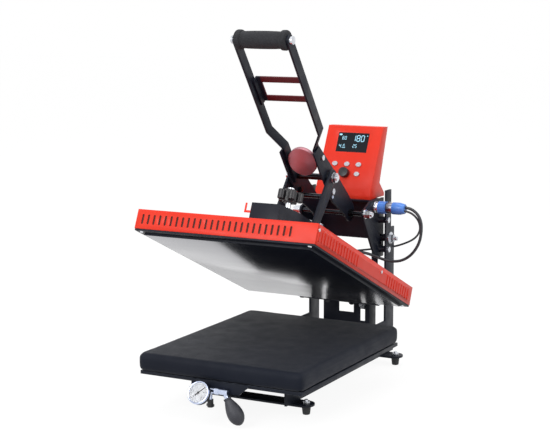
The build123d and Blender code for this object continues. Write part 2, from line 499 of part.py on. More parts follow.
# Connector on the right ear: socket, plug with a turning ring and a latch, and its gland
SOCKET_END = 95.0
RING_END = 115.0
PLUG_END = 131.0
GLAND_END = 162.0
socket = rod_x(SOCKET, EAR_IN - 6, SOCKET_END, 8) + rod_x(SOCKET, EAR_IN - 5, EAR_IN, 11)
socket += rod_x(SOCKET, EAR_OUT, EAR_OUT + 4, 14) + rod_x(SOCKET, EAR_OUT + 4, SOCKET_END, 11)
save(socket, "cable_socket")
ring = rod_x(SOCKET, SOCKET_END + GAP, RING_END - GAP, 15)
for i in range(12):
    groove = Pos(105, *SOCKET) * Rot(30 * i, 0, 0) * Pos(0, 0, 15.6) * Rot(0, 90, 0) * Cylinder(1.5, 16)
    ring -= groove
save(ring - rod_x(SOCKET, SOCKET_END, RING_END, 10 + FIT), "plug_ring")
plug = rod_x(SOCKET, SOCKET_END, RING_END, 10) + rod_x(SOCKET, RING_END, PLUG_END, 13)
save(plug - rod_z(123, SOCKET[0], SOCKET[1] + 5, SOCKET[1] + 14, 3 + GAP), "plug_body")
save(rod_z(123, SOCKET[0], SOCKET[1] + 7.5, SOCKET[1] + 15, 3), "plug_latch")
gland = rod_x(SOCKET, PLUG_END, 150, 14.5) + extrude(side_plane(150, *SOCKET) * Circle(14.5), 12, taper=15)
CORD_START = [(363.5, 391.2), (358.0, 383.8)]
CORD_R = [3.5, 2.5]
CORD_X = GLAND_END - 7
HEAD_CORD_X = BEAM_HALF + 17
SENSOR_CORD_X = BEAM_HALF + 7
for at, r in zip(CORD_START, CORD_R):
    gland -= rod_x(at, CORD_X - 1, GLAND_END + 1, r + 0.1)
save(gland, "plug_gland")

# Two cords from the plug, down past the right post and round to the rear of the head
HEAD_CORD = [
    (CORD_X, *CORD_START[0]), (169.6, *CORD_START[0]), (185, 363, 384.8), (197, 362.5, 372.9),
    (203.4, 362, 357), (203.8, 361.5, 335), (200, 361, 313), (190, 361, 293), (175, 361, 275.5),
    (155, 360.5, 263.5), (133, 359.5, 259.5), (111, 357, 262.5), (91, 353, 269.5), (74, 345, 276.5),
    (62, 331, 281.5), (55, 313, 284), (HEAD_CORD_X, 294, 279), (HEAD_CORD_X, 277, 266),
]
SENSOR_CORD = [
    (CORD_X, *CORD_START[1]), (169, *CORD_START[1]), (185, 360, 376), (194, 368, 361), (193, 381, 342),
    (183, 395, 325), (167, 410, 311), (148, 425, 300), (126, 436, 290), (104, 440.5, 282), (83, 437, 278),
    (66, 426, 276), (55, 409, 276), (48.5, 389, 277), (45, 368, 279), (43, 347, 281),
    (SENSOR_CORD_X, 325, 281.5), (SENSOR_CORD_X, 305, 277), (SENSOR_CORD_X, 291, 268.5),
    (SENSOR_CORD_X, 281.8, 256),
]


def cord(points, r, name):
    runs = [Vector(*b) - Vector(*a) for a, b in zip(points, points[1:])]
    radii = []
    for u, v in zip(runs, runs[1:]):
        turn = acos(max(-1, min(1, u.dot(v) / u.length / v.length)))
        radii.append(0.45 * min(u.length, v.length) / tan(turn / 2))
    line = FilletPolyline(*points, radius=radii)
    body = sweep(Plane(origin=line @ 0, z_dir=line % 0) * Circle(r), path=line)
    print(name, "length", round(line.length, 1), "smallest radius", round(min(radii), 1),
          "volume ratio", round(body.volume / (3.14159265 * r * r * line.length), 4))
    save(body, name)


# Each cord ends on a gland on top of the head cover, near its rear edge, and just clear of it,
# because the head turns away from the cord as it closes
GLAND_TOP = H + 8
glands = []
for x, y, r, points, name in ((HEAD_CORD_X, -30, CORD_R[0], HEAD_CORD, "head_cord"),
                              (SENSOR_CORD_X, -20, CORD_R[1], SENSOR_CORD, "sensor_cord")):
    cord(points + [(x, *on_head(y, GLAND_TOP + 9)), (x, *on_head(y, GLAND_TOP + GAP + 0.1))], r, name)
    glands.append(HEAD * rod_z(x, y, H, GLAND_TOP, r + 3))
save(Compound(glands), "cord_glands")
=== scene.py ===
# %% [markdown]
# A membrane heat press is a hinged heating head that a toggle lever closes onto an air-filled pad.
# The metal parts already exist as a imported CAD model, which is loaded here as a fixed frame.
# Everything that follows dresses that frame: cords, soft parts, rounded edges and finishes.

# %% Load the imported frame
import json
import math

import bmesh
import bpy
from mathutils import Matrix, Vector

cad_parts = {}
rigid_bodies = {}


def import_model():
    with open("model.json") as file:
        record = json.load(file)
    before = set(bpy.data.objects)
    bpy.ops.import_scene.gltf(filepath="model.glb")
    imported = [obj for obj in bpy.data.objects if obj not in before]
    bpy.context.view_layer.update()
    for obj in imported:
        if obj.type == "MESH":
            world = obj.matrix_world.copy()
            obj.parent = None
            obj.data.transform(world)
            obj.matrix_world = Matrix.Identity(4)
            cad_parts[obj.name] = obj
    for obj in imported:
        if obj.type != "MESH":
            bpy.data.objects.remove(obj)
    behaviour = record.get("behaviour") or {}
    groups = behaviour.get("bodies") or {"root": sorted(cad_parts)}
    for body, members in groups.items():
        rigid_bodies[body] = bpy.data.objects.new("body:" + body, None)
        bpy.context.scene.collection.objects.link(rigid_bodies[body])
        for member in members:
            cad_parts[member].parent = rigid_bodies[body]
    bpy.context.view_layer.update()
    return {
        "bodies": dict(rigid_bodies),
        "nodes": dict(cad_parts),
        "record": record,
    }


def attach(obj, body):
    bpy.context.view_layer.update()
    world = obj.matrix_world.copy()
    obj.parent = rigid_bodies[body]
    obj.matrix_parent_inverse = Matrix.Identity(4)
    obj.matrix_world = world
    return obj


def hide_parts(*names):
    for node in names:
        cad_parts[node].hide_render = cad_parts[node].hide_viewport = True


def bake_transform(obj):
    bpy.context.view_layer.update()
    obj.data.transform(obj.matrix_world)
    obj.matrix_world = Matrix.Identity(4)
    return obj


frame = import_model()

MM = 0.001
MIDDLE_Y = 84.2


def spot(x, y, z):
    """A point of the CAD source, in millimetres from the pad's centre, as a place in the frame."""
    return Vector((x, y - MIDDLE_Y, z)) * MM


# %% [markdown]
# The camera comes first, because every later choice is judged through it. Its place was found by
# fitting the corners of the head, the pad and the feet to the photograph. A long lens from about
# three metres keeps the edges nearly parallel, as they are there.

# %% Camera
AZIMUTH, ELEVATION, ROLL = 28.15, 8.98, -0.14
EYE = spot(1511.6, -2814.6, 902.3)

turn, lift, lean = (math.radians(x) for x in (AZIMUTH, ELEVATION, ROLL))
back = Vector((math.sin(turn) * math.cos(lift), -math.cos(turn) * math.cos(lift), math.sin(lift)))
right = Vector((math.cos(turn), math.sin(turn), 0))
up = back.cross(right)
right, up = right * math.cos(lean) + up * math.sin(lean), up * math.cos(lean) - right * math.sin(lean)
lens = bpy.data.cameras.new("camera")
lens.lens = 96.1
lens.sensor_width = 36
camera = bpy.data.objects.new("camera", lens)
camera.matrix_world = Matrix.Translation(EYE) @ Matrix((right, up, back)).transposed().to_4x4()
bpy.context.scene.collection.objects.link(camera)
bpy.context.scene.camera = camera
bpy.context.scene.view_settings.view_transform = "Standard"
print("camera looks along", [round(x, 3) for x in -back])

# %% [markdown]
# A finish is a shader with a few layers of noise: one wide layer that varies the colour, one that
# varies the gloss, and one fine layer that lifts the surface. All of them read Object coordinates,
# so a pattern stays on its piece. One function builds the common layers, and a finish that needs
# more, such as a weave, adds its own nodes afterwards.

# %% Nodes of a finish


def add(material, kind, **values):
    made = material.node_tree.nodes.new("ShaderNode" + kind)
    for key, value in values.items():
        if hasattr(made, key):
            setattr(made, key, value)
        else:
            made.inputs[key.replace("_", " ")].default_value = value
    return made


def join(material, source, target):
    material.node_tree.links.new(source, target)


def noise(material, scale, detail=3.0, stretch=(1, 1, 1)):
    where = add(material, "TexCoord")
    spread = add(material, "Mapping", Scale=stretch)
    join(material, where.outputs["Object"], spread.inputs["Vector"])
    pattern = add(material, "TexNoise", Scale=scale, Detail=detail, Roughness=0.55)
    join(material, spread.outputs["Vector"], pattern.inputs["Vector"])
    return pattern.outputs["Fac"]


def between(material, pattern, low, high, first=0.3, last=0.7):
    span = add(material, "MapRange")
    for name, value in (("From Min", first), ("From Max", last), ("To Min", low), ("To Max", high)):
        span.inputs[name].default_value = value
    join(material, pattern, span.inputs["Value"])
    return span.outputs["Result"]


def maths(owner, operation, *values):
    """One operation whose inputs are numbers or the outputs of other nodes."""
    made = add(owner, "Math", operation=operation)
    for socket, value in zip(made.inputs, values):
        if isinstance(value, (int, float)):
            socket.default_value = value
        else:
            join(owner, value, socket)
    return made.outputs["Value"]


def colour_mix(material, pattern):
    """A mix that a pattern drives: its first colour, its second colour and its result."""
    mix = add(material, "Mix", data_type="RGBA")
    join(material, pattern, mix.inputs["Factor"])
    first, second = (s for s in mix.inputs if s.type == "RGBA")
    return first, second, next(s for s in mix.outputs if s.type == "RGBA")


def blend_colours(material, pattern, dark, light):
    first, second, result = colour_mix(material, pattern)
    first.default_value = (*dark, 1)
    second.default_value = (*light, 1)
    return result


def lay_over(material, under, pattern, colour):
    first, second, result = colour_mix(material, pattern)
    join(material, under, first)
    second.default_value = (*colour, 1)
    return result


def relief(material, height, depth, strength=1.0):
    """Adds a bump of that depth in millimetres, on top of any bump that is there."""
    shader = material.node_tree.nodes["Principled BSDF"]
    bump = add(material, "Bump", Strength=strength, Distance=depth * MM)
    join(material, height, bump.inputs["Height"])
    before = shader.inputs["Normal"].links
    if before:
        join(material, before[0].from_socket, bump.inputs["Normal"])
    join(material, bump.outputs["Normal"], shader.inputs["Normal"])


def finish(name, dark, light, rough, metallic=0.0, cloud=7.0, grain=700.0, depth=0.03,
           stretch=(1, 1, 1), worn=None, **sockets):
    """A finish whose colour drifts from dark to light, and its roughness within the pair rough."""
    material = bpy.data.materials.new(name)
    material.use_nodes = True
    shader = material.node_tree.nodes["Principled BSDF"]
    shader.inputs["Metallic"].default_value = metallic
    for key, value in sockets.items():
        shader.inputs[key.replace("_", " ")].default_value = value
    wide = between(material, noise(material, cloud, 4.0), 0.0, 1.0)
    colour = blend_colours(material, wide, dark, light)
    if worn:
        edge = add(material, "Attribute", attribute_name="worn")
        rub = between(material, noise(material, 90.0, 5.0), 0.0, 0.8, 0.45, 0.7)
        rubbed = maths(material, "MULTIPLY", edge.outputs["Fac"], rub)
        colour = lay_over(material, colour, rubbed, worn)
    join(material, colour, shader.inputs["Base Color"])
    fine = noise(material, grain, 2.0, stretch)
    middle = noise(material, cloud * 6, 4.0, stretch)
    join(material, between(material, middle, *rough), shader.inputs["Roughness"])
    relief(material, fine, depth)
    material.diffuse_color = (*light, 1)
    return material


# %% [markdown]
# The painted parts: the black frame is satin powder coat with a fine orange peel and a trace of
# grey where an edge is rubbed. The cover and the control box are red enamel, smoother and glossier,
# with a soft waviness from the spray gun. The brace between the handle bars carries a painted
# reflection: its black is tinted dark red, as if it mirrored the red parts.

# %% Paint
black_coat = finish("black_coat", (0.0050, 0.0070, 0.0140), (0.0085, 0.0115, 0.0220), (0.40, 0.56),
                    grain=1100.0, depth=0.03, worn=(0.06, 0.07, 0.09), Specular_IOR_Level=0.22)
red_enamel = finish("red_enamel", (0.86, 0.036, 0.016), (0.93, 0.052, 0.024), (0.30, 0.40), grain=420.0,
                    depth=0.02, worn=(0.92, 0.18, 0.11), Specular_IOR_Level=0.22)


def tinted_middle(material, name, half_width, low, tint):
    """A copy of a finish with a tint within half_width of the middle and above low, in millimetres."""
    made = material.copy()
    made.name = name
    parts = add(made, "SeparateXYZ")
    join(made, add(made, "TexCoord").outputs["Object"], parts.inputs["Vector"])
    near = maths(made, "LESS_THAN", maths(made, "ABSOLUTE", parts.outputs["X"]), half_width * MM)
    high = maths(made, "GREATER_THAN", parts.outputs["Z"], low * MM)
    shader = made.node_tree.nodes["Principled BSDF"]
    under = shader.inputs["Base Color"].links[0].from_socket
    tinted = lay_over(made, under, maths(made, "MULTIPLY", near, high), tint)
    join(made, tinted, shader.inputs["Base Color"])
    return made


# painted reflection: within BRACE_HALF of the middle and above BRACE_LOW, the handle's black is tinted dark
# red, standing in for the red parts it mirrors
BRACE_HALF, BRACE_LOW = 50.6, 600
handle_coat = tinted_middle(black_coat, "handle_coat", BRACE_HALF, BRACE_LOW, (0.11, 0.013, 0.018))
print("painted finishes", black_coat.name, red_enamel.name, handle_coat.name)

# %% [markdown]
# The bare metals: zinc on screws and nuts has a cool cloudy colour and a brushed gloss. The
# heating plate is coated aluminium, smooth enough to mirror the pad and the white room, with
# long faint wiping marks. The disc is polished steel with a painted reflection of the red around it.
# The shafts and pins are zinc at their ends, and darker between the plates that they join.

# %% Metals
zinc = finish("zinc", (0.50, 0.52, 0.56), (0.74, 0.76, 0.80), (0.18, 0.36), metallic=1.0, cloud=60.0,
              grain=1500.0, depth=0.02)
chrome = finish("chrome", (0.50, 0.56, 0.74), (0.62, 0.68, 0.84), (0.07, 0.16), metallic=1.0, cloud=40.0,
                grain=900.0, depth=0.004)
turned = finish("turned_steel", (0.16, 0.16, 0.19), (0.24, 0.24, 0.28), (0.26, 0.36), metallic=1.0,
                cloud=40.0, grain=900.0, depth=0.01)
plate_coat = finish("plate_coat", (0.32, 0.32, 0.34), (0.38, 0.38, 0.40), (0.17, 0.25), metallic=1.0,
                    cloud=3.0, grain=260.0, depth=0.004, stretch=(0.1, 1, 1))
# painted reflection: the disc's mauve colour stands in for the red around it that it mirrors
mauve_steel = finish("mauve_steel", (0.38, 0.16, 0.19), (0.50, 0.23, 0.27), (0.34, 0.46), metallic=0.7,
                     cloud=18.0, grain=500.0, depth=0.01, stretch=(1, 6, 6))
# the middles of the shafts and pins, between the plates that they join, are darker than their zinc ends
DARK_MIDDLE = (0.03, 0.032, 0.038)
SHAFT_HALF, PIN_HALF = 79, 40.5
shaft_zinc = tinted_middle(zinc, "shaft_zinc", SHAFT_HALF, 0, DARK_MIDDLE)
pin_zinc = tinted_middle(zinc, "pin_zinc", PIN_HALF, 0, DARK_MIDDLE)
print("metal finishes", zinc.name, chrome.name, plate_coat.name)

# %% [markdown]
# The mouldings and rubbers: blue and black plastic, rubber feet and bulb, foam on the grip, and
# the sheath of the cords. They differ in gloss and in the size of their grain more than in colour.

# %% Plastics and rubbers
blue_plastic = finish("blue_plastic", (0.055, 0.20, 0.68), (0.10, 0.30, 0.86), (0.26, 0.36), cloud=40.0,
                      depth=0.02)
black_plastic = finish("black_plastic", (0.010, 0.010, 0.012), (0.022, 0.022, 0.026), (0.30, 0.44),
                       cloud=40.0, grain=1300.0, depth=0.04)
foot_rubber = finish("foot_rubber", (0.012, 0.013, 0.014), (0.03, 0.032, 0.035), (0.55, 0.75),
                     cloud=60.0, grain=1500.0, depth=0.06)
bulb_rubber = finish("bulb_rubber", (0.035, 0.036, 0.045), (0.06, 0.062, 0.075), (0.50, 0.66),
                     cloud=40.0, grain=1600.0, depth=0.05)
cord_sheath = finish("cord_sheath", (0.02, 0.024, 0.03), (0.035, 0.04, 0.048), (0.36, 0.50), cloud=30.0,
                     grain=1800.0, depth=0.02)
silver_cap = finish("silver_cap", (0.38, 0.38, 0.42), (0.52, 0.52, 0.56), (0.30, 0.42), metallic=0.6,
                    cloud=60.0, depth=0.01)
smoked_window = finish("smoked_window", (0.002, 0.004, 0.008), (0.004, 0.007, 0.013), (0.10, 0.18),
                       cloud=20.0, grain=300.0, depth=0.002, Specular_IOR_Level=0.25)
dial_card = finish("dial_card", (0.80, 0.81, 0.84), (0.88, 0.88, 0.90), (0.5, 0.6), cloud=60.0,
                   depth=0.01)
ink = finish("ink", (0.008, 0.008, 0.010), (0.02, 0.02, 0.022), (0.5, 0.6), cloud=90.0, depth=0.004)
fibre_board = finish("fibre_board", (0.06, 0.02, 0.016), (0.10, 0.032, 0.026), (0.8, 0.95), cloud=50.0,
                     grain=420.0, depth=0.25, stretch=(1, 5, 5))
lens_glass = finish("lens_glass", (0.96, 0.98, 1.0), (1.0, 1.0, 1.0), (0.0, 0.03), cloud=20.0,
                    depth=0.0005, Transmission_Weight=1.0, IOR=1.45)

foam = finish("foam", (0.010, 0.011, 0.014), (0.022, 0.023, 0.028), (0.75, 0.92), cloud=50.0,
              grain=500.0, depth=0.10)
cells = add(foam, "TexVoronoi", Scale=900.0)
join(foam, add(foam, "TexCoord").outputs["Object"], cells.inputs["Vector"])
relief(foam, cells.outputs["Distance"], 0.12)
print("moulded finishes", blue_plastic.name, foam.name)

# %% [markdown]
# The pad's cover is a black silicone cloth. Two crossed sets of fine waves give its weave, which
# is only a bump a tenth of a millimetre deep. A little sheen makes the rounded edges catch the
# light softly, and slow noise keeps a surface this large from looking like a flat colour.

# %% Pad cloth
pad_cloth = finish("pad_cloth", (0.0045, 0.0065, 0.0140), (0.0075, 0.0105, 0.0205), (0.54, 0.66),
                   cloud=5.0, grain=260.0, depth=0.06, Sheen_Weight=0.05, Sheen_Roughness=0.45,
                   Specular_IOR_Level=0.18)
cloth_place = add(pad_cloth, "TexCoord")
WAVE_SCALE = 420.0
threads = []
for axis in ("X", "Y"):
    wave = add(pad_cloth, "TexWave", bands_direction=axis, Scale=WAVE_SCALE, Distortion=0.6, Detail=1.0)
    join(pad_cloth, cloth_place.outputs["Object"], wave.inputs["Vector"])
    threads.append(wave.outputs["Fac"])
relief(pad_cloth, maths(pad_cloth, "MAXIMUM", *threads), 0.08)
print("scale of the weave", WAVE_SCALE)

# %% [markdown]
# Each CAD node names a material slot in the record, so one table turns slots into finishes. A few
# nodes share a slot but look different, and a second table names those by node.

# %% Finish every CAD node
FINISH_OF_SLOT = {
    "black_steel": black_coat, "red_enamel": red_enamel, "bright_steel": zinc, "chrome": chrome,
    "plate_alu": plate_coat, "case_metal": turned, "pad_rubber": pad_cloth, "black_rubber": foot_rubber,
    "grip_foam": foam, "cord_rubber": cord_sheath, "blue_plastic": blue_plastic,
    "black_plastic": black_plastic, "button_silver": silver_cap, "screen_glass": smoked_window,
    "dial_white": dial_card, "lens_glass": lens_glass, "insulation": fibre_board,
}
FINISH_OF_NODE = {
    "armature_disc": mauve_steel, "gauge_needle": ink, "handle_frame": handle_coat,
    "frame_shafts": shaft_zinc, "lever_pins": pin_zinc,
}
slot_of = {part["node"]: part["material_slot"] for part in frame["record"]["subparts"]}
body_of = {
    child.name: body.name.split(":")[1] for body in frame["bodies"].values() for child in body.children
}


def finish_of(node):
    return FINISH_OF_NODE.get(node, FINISH_OF_SLOT[slot_of[node]])


for node, thing in frame["nodes"].items():
    if not thing.material_slots:
        thing.data.materials.append(None)
    for place in thing.material_slots:
        place.material = finish_of(node)
print("finished nodes", len(frame["nodes"]))

# %% [markdown]
# New pieces all end the same way: the bmesh is put in its place, written to a mesh, shaded smooth
# with sharp corners kept, given its finish, and told which body it rides on.

# %% Finish a new piece


def to_mesh(bm, name):
    mesh = bpy.data.meshes.new(name)
    bm.to_mesh(mesh)
    bm.free()
    return mesh


def make_piece(bm, name, like, material=None, place=None, replaces=True, sharp=40):
    """Ends a bmesh as a piece that rides with, and has the slot of, the CAD node named like."""
    if place is not None:
        bmesh.ops.transform(bm, matrix=place, verts=bm.verts)
    mesh = to_mesh(bm, name)
    mesh.polygons.foreach_set("use_smooth", [True] * len(mesh.polygons))
    mesh.set_sharp_from_angle(angle=math.radians(sharp))
    mesh.materials.append(material or finish_of(like))
    piece = bpy.data.objects.new(name, mesh)
    bpy.context.scene.collection.objects.link(piece)
    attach(piece, body_of[like])
    if replaces:
        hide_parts(like)
    return piece


def turned_shape(profile, steps=48, closed=False):
    """Spins a profile of (radius, height) pairs about Z into a closed shape."""
    bm = bmesh.new()
    corners = [bm.verts.new((r, 0, h)) for r, h in profile]
    pairs = list(zip(corners, corners[1:])) + ([(corners[-1], corners[0])] if closed else [])
    edges = [bm.edges.new(pair) for pair in pairs]
    bmesh.ops.spin(bm, geom=corners + edges, axis=(0, 0, 1), cent=(0, 0, 0), dvec=(0, 0, 0),
                   angle=2 * math.pi, steps=steps, use_merge=True)
    bmesh.ops.remove_doubles(bm, verts=bm.verts, dist=1e-4)
    bmesh.ops.recalc_face_normals(bm, faces=bm.faces)
    return bm


def local(x, y, z, tilt=0, axis="X"):
    """A place whose own units are millimetres."""
    return (Matrix.Translation(spot(x, y, z)) @ Matrix.Rotation(math.radians(tilt), 4, axis)
            @ Matrix.Scale(MM, 4))


HEAD = local(0, 266.7, 178.6, -24.2)
FACE = local(0, 353, 416, -26.2)
print("head plane starts at", [round(x, 3) for x in HEAD.translation])

# %% [markdown]
# Two cords leave the blue connector, drop past the post and go back into the head. Each is one
# smooth NURBS line through the same points as its CAD solid, so it hangs in one soft bend. The
# line becomes a tube mesh. The sensor cord bends only past the gas cylinder, which it would cut
# through if its bend began sooner.

# %% Cords
HEAD_CORD = [
    (155, 363.5, 391.2), (169.6, 363.5, 391.2), (185, 363, 384.8), (197, 362.5, 372.9), (203.4, 362, 357),
    (203.8, 361.5, 335), (200, 361, 313), (190, 361, 293), (175, 361, 275.5), (155, 360.5, 263.5),
    (133, 359.5, 259.5), (111, 357, 262.5), (91, 353, 269.5), (74, 345, 276.5), (62, 331, 281.5),
    (55, 313, 284), (52, 294, 279), (52, 277, 266),
]
SENSOR_CORD = [
    (155, 358, 383.8), (169, 358, 383.8), (185, 360, 376), (194, 368, 361), (193, 381, 342),
    (183, 395, 325), (167, 410, 311), (148, 425, 300), (126, 436, 290), (104, 440.5, 282), (83, 437, 278),
    (66, 426, 276), (55, 409, 276), (48.5, 389, 277), (45, 368, 279), (43, 347, 281), (42, 325, 281.5),
    (42, 305, 277), (42, 291, 268.5), (42, 281.8, 256),
]


def make_cord(name, points, ends, radius):
    curve = bpy.data.curves.new(name + "_line", "CURVE")
    curve.dimensions = "3D"
    line = curve.splines.new("NURBS")
    places = [spot(*p) for p in points] + [HEAD @ Vector(p) for p in ends]
    line.points.add(len(places) - 1)
    for point, place in zip(line.points, places):
        point.co = (*place, 1)
    line.order_u = 3
    line.use_endpoint_u = True
    curve.resolution_u = 10
    holder = bpy.data.objects.new(name + "_line", curve)
    path = [v.co.copy() for v in bpy.data.meshes.new_from_object(holder).vertices]
    curve.bevel_depth = radius * MM
    curve.bevel_resolution = 3
    curve.use_fill_caps = True
    mesh = bpy.data.meshes.new_from_object(holder)
    mesh.polygons.foreach_set("use_smooth", [True] * len(mesh.polygons))
    mesh.materials.clear()
    mesh.materials.append(cord_sheath)
    piece = bpy.data.objects.new(name + "_soft", mesh)
    bpy.context.scene.collection.objects.link(piece)
    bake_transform(piece)
    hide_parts(name)
    print(name, "line", round(sum((b - a).length for a, b in zip(path, path[1:])), 4), "m")
    bpy.data.objects.remove(holder)
    return piece


HEAD_ENTRY, SENSOR_ENTRY = (52, -30), (42, -20)
HEAD_R, SENSOR_R = 3.5, 2.5
FREE_END, GLAND_END = 60, 51.4


def into_head(entry):
    """The last two points of a cord, in the head's own plane."""
    return [(*entry, FREE_END), (*entry, GLAND_END)]


make_cord("head_cord", HEAD_CORD, into_head(HEAD_ENTRY), HEAD_R)
make_cord("sensor_cord", SENSOR_CORD, into_head(SENSOR_ENTRY), SENSOR_R)

# %% [markdown]
# Where a cord enters the head, a tapered sleeve takes the bend. A short profile turned round the
# cord's axis gives it three soft ribs.

# %% Strain relief sleeves
SLEEVE_FOOT = 50.8
SLEEVES = (("head_cord_sleeve", HEAD_ENTRY, HEAD_R), ("sensor_cord_sleeve", SENSOR_ENTRY, SENSOR_R))
for name, (x, y), r in SLEEVES:
    ribs = [(r + 0.15, 0), (r + 2.4, 0), (r + 2.4, 2), (r + 1.5, 3), (r + 2.0, 4.5), (r + 1.2, 6),
            (r + 1.6, 7.5), (r + 0.9, 9), (r + 1.1, 10.5), (r + 0.15, 11.5)]
    make_piece(turned_shape(ribs, 32, closed=True), name, "cord_glands", black_plastic,
               HEAD @ Matrix.Translation((x, y, SLEEVE_FOOT)), replaces=False)
print("sleeves", len(SLEEVES))

# %% [markdown]
# The photograph is a product picture on white. The floor and the world are white to the camera
# and in reflections, but they light the object gently, and the floor keeps part of its shadow. The
# floor's glow is a little above 1, because it is mixed with a dim matt floor, and the two come to white.

# %% Floor and light
FLOOR_GLOW = 0.84
FLOOR_WHITE = 1.09


def seen_white(owner, plain, seen_strength=1.0):
    """White for camera, glossy and transmitted rays, and the plain strength for all others."""
    rays = add(owner, "LightPath")
    seen = rays.outputs["Is Camera Ray"]
    for name in ("Is Glossy Ray", "Is Transmission Ray"):
        seen = maths(owner, "MAXIMUM", seen, rays.outputs[name])
    span = add(owner, "MapRange")
    span.inputs["To Min"].default_value = plain
    span.inputs["To Max"].default_value = seen_strength
    join(owner, seen, span.inputs["Value"])
    return span.outputs["Result"]


world = bpy.data.worlds.new("studio")
world.use_nodes = True
bpy.context.scene.world = world
sky = world.node_tree.nodes["Background"]
sky.inputs["Color"].default_value = (1, 1, 1, 1)
join(world, seen_white(world, 0.55), sky.inputs["Strength"])

bm = bmesh.new()
bmesh.ops.create_grid(bm, x_segments=1, y_segments=1, size=14)
floor_mesh = to_mesh(bm, "floor")
floor = bpy.data.objects.new("floor", floor_mesh)
bpy.context.scene.collection.objects.link(floor)
pale = bpy.data.materials.new("pale_floor")
pale.use_nodes = True
cover = pale.node_tree.nodes["Principled BSDF"]
cover.inputs["Base Color"].default_value = (0.86, 0.86, 0.86, 1)
cover.inputs["Roughness"].default_value = 0.9
glow = add(pale, "Emission")
mixer = add(pale, "MixShader")
mixer.inputs[0].default_value = FLOOR_GLOW
join(pale, seen_white(pale, 0.0, FLOOR_WHITE), glow.inputs["Strength"])
join(pale, cover.outputs[0], mixer.inputs[1])
join(pale, glow.outputs[0], mixer.inputs[2])
join(pale, mixer.outputs[0], pale.node_tree.nodes["Material Output"].inputs["Surface"])
floor_mesh.materials.append(pale)


def lamp(name, place, aim, size, watts):
    light = bpy.data.lights.new(name, "AREA")
    light.size = size
    light.energy = watts
    holder = bpy.data.objects.new(name, light)
    holder.location = place
    holder.rotation_mode = "QUATERNION"
    holder.rotation_quaternion = (Vector(aim) - Vector(place)).to_track_quat("-Z", "Y")
    bpy.context.scene.collection.objects.link(holder)


lamp("key", (-0.6, -3.2, 2.2), (0, 0, 0.3), 1.8, 62)
lamp("side", (3.2, -0.6, 1.6), (0, 0, 0.35), 1.6, 26)
lamp("top", (0, 0.4, 3.2), (0, 0, 0.3), 2.2, 30)
print("lamps", 3)

# %% [markdown]
# Sheet steel is never razor sharp. A copy of each visible node is merged, its flat faces are
# joined again, and its sharp edges are beveled, so they catch a thin line of light. The new bevel
# faces carry an attribute named worn, which the paint reads to look rubbed there.

# %% Round the edges of the metal parts
# For each node: the width of the bevel and the shortest edge that gets one, in millimetres
EDGE_WIDTHS = {
    "head_cover": (1.0, 5.0), "side_frame_left": (0.7, 3.0), "side_frame_right": (0.7, 3.0),
    "head_bracket": (0.7, 3.0), "head_beam": (1.0, 3.0), "lever_plates": (0.6, 2.0),
    "handle_frame": (0.8, 2.0), "links": (0.6, 1.0), "control_box": (1.3, 3.0), "crossbars": (0.7, 1.0),
    "rear_panel": (0.7, 3.0), "armature_disc": (0.9, 0.5), "armature_yoke": (0.7, 2.0),
    "holding_magnet": (1.0, 0.5), "heating_plate": (0.8, 3.0), "lower_tray": (0.8, 3.0),
    "gauge_holder": (0.5, 2.0), "dial_knob": (0.9, 0.3), "plug_ring": (0.5, 2.5), "hinge_tube": (0.6, 2.0),
    "back_plate": (0.4, 2.0), "gauge_case": (1.2, 0.3), "plug_body": (0.8, 0.3), "plug_gland": (0.6, 0.3),
    "cable_socket": (0.5, 0.3), "power_switch": (0.8, 1.0), "angle_plate": (0.4, 1.0),
}


def round_edges(node, width, shortest, corner=35):
    source = frame["nodes"][node]
    bm = bmesh.new()
    bm.from_mesh(source.data)
    worn = bm.faces.layers.float.new("worn")
    bmesh.ops.remove_doubles(bm, verts=bm.verts, dist=2e-6)
    bmesh.ops.dissolve_limit(bm, angle_limit=math.radians(0.6), verts=bm.verts, edges=bm.edges)
    sharp = [e for e in bm.edges if len(e.link_faces) == 2 and e.calc_length() > shortest * MM
             and e.calc_face_angle() > math.radians(corner)]
    made = bmesh.ops.bevel(bm, geom=sharp, offset=width * MM, offset_type="OFFSET", segments=2, profile=0.5,
                           affect="EDGES", clamp_overlap=True, material=-1)
    for face in made["faces"]:
        face[worn] = 1.0
    print(node, "edges", len(sharp), "faces", len(bm.faces))
    return make_piece(bm, node + "_rounded", node)


rounded = {node: round_edges(node, width, shortest) for node, (width, shortest) in EDGE_WIDTHS.items()}

# %% [markdown]
# Every face of the heating plate that doesn't look down from the head takes the black paint,
# because its edges look black in the photograph, so only the underside stays shiny.

# %% Dark edges of the plate
plate = rounded["heating_plate"].data
plate.materials.append(black_coat)
down = (HEAD.to_3x3() @ Vector((0, 0, -1))).normalized()
for face in plate.polygons:
    face.material_index = 0 if face.normal.dot(down) > 0.95 else 1
print("dark faces", sum(face.material_index for face in plate.polygons))

# %% [markdown]
# The pad is a cushion of air under a silicone cloth: flat below, where it lies on the tray, and
# full at the sides. A beveled block is remeshed finely and blown up by a short cloth simulation,
# and no point may move more than a few millimetres. Its top then settles level for the garment.

# %% Membrane pad
PAD_BOTTOM, PAD_TOP = 93.4, 132.9
PAD_WIDTH, PAD_DEPTH = 403.0, 501.0
PAD_CORNER, PAD_RIM = 13, 6
PAD_SWELL = 3.0
PAD_CELL = 6


def rounded_off(bm, edges, offset, segments):
    bmesh.ops.bevel(bm, geom=edges, offset=offset, offset_type="OFFSET", segments=segments, profile=0.5,
                    affect="EDGES", clamp_overlap=True, material=-1)


